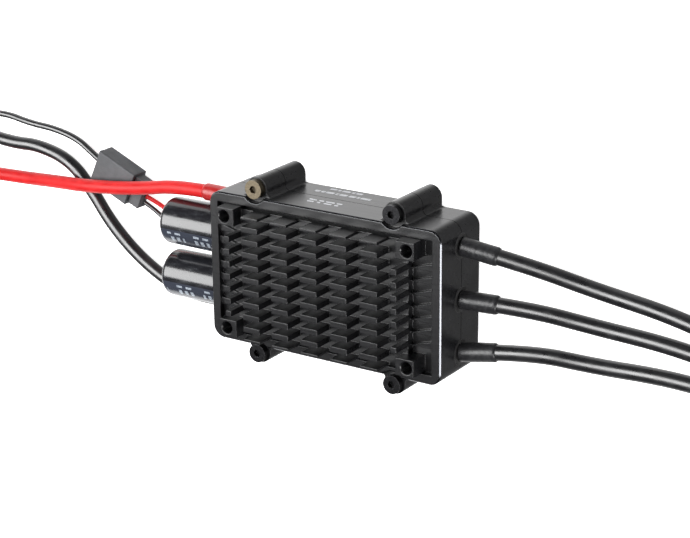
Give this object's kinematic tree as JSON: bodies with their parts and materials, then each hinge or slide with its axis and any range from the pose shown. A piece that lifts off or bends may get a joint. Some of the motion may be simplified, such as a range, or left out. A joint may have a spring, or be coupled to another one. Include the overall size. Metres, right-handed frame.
{
  "type": "brushless electronic speed controller",
  "caption": "Electronic speed controller: aluminium half shells with a pin-fin heatsink, motor and power wires, bulk capacitors and a plugged signal lead",
  "frame": {"origin": "centre of the flat back face, in the plane the controller is stuck down on", "axes": "+Z out through the heatsink fins, +X towards the motor wires, +Y across the width towards the red wire"},
  "size_m": [0.2502, 0.0493, 0.0248],
  "materials": {
    "black_anodised": "satin black anodised aluminium",
    "black_steel": "black oxide",
    "plated_steel": "pale yellow zinc",
    "clear_film": "amber insulating film",
    "board": "green glass fibre laminate",
    "chip_plastic": "moulded black epoxy",
    "pad_rubber": "soft grey heat-conducting pad",
    "bare_aluminium": "plain drawn aluminium",
    "tinned_metal": "tinned",
    "copper": "plain copper",
    "ceramic_chip": "fired tan ceramic",
    "connector_plastic": "matt black moulded plastic",
    "sleeve_film": "glossy black shrink film",
    "bung_rubber": "black rubber",
    "black_silicone": "smooth black silicone rubber",
    "red_silicone": "smooth red silicone rubber",
    "heat_shrink": "satin black heat-shrink",
    "red_heat_shrink": "satin red heat-shrink",
    "brass_contact": "plain brass"
  },
  "bodies": {
    "controller": {"heatsink_shell": "black_anodised", "back_shell": "black_anodised", "case_screws": "black_steel", "case_screw_plated": "plated_steel", "insulating_film": "clear_film", "power_board": "board", "control_board": "board", "power_transistors": "chip_plastic", "thermal_pad": "pad_rubber", "heat_spreader": "bare_aluminium", "current_shunts": "tinned_metal", "copper_bus_bars": "copper", "gate_drivers": "chip_plastic", "microcontroller": "chip_plastic", "ceramic_capacitors": "ceramic_chip", "board_header": "connector_plastic", "board_feet": "connector_plastic", "capacitor_cans": "bare_aluminium", "capacitor_sleeves": "sleeve_film", "capacitor_bungs": "bung_rubber", "capacitor_leads": "tinned_metal", "capacitor_crimps": "bare_aluminium", "motor_wire_upper": "black_silicone", "motor_wire_middle": "black_silicone", "motor_wire_lower": "black_silicone", "motor_wire_tips": "tinned_metal", "motor_wire_sleeves": "heat_shrink", "motor_wire_bushings": "bung_rubber", "motor_wire_roots": "black_silicone", "power_wire_positive": "red_silicone", "power_wire_negative": "black_silicone", "power_wire_tips": "tinned_metal", "power_wire_roots": "black_silicone", "positive_sleeve": "red_heat_shrink", "positive_bushing": "bung_rubber", "negative_bushing": "bung_rubber", "solder_joints": "tinned_metal", "signal_wire_red": "red_silicone", "signal_wire_black": "black_silicone", "signal_wire_roots": "black_silicone", "signal_seal": "bung_rubber", "signal_plug": "connector_plastic"},
    "extension": {"extension_socket": "connector_plastic", "extension_pins": "brass_contact", "extension_lead": "black_silicone", "extension_plug": "connector_plastic"}
  },
  "joints": [
    {"name": "signal_unplug", "type": "slide", "parent": "controller", "child": "extension", "axis": [-0.9136, 0.4067, 0], "range_m": [0, 0.005]}
  ]
}
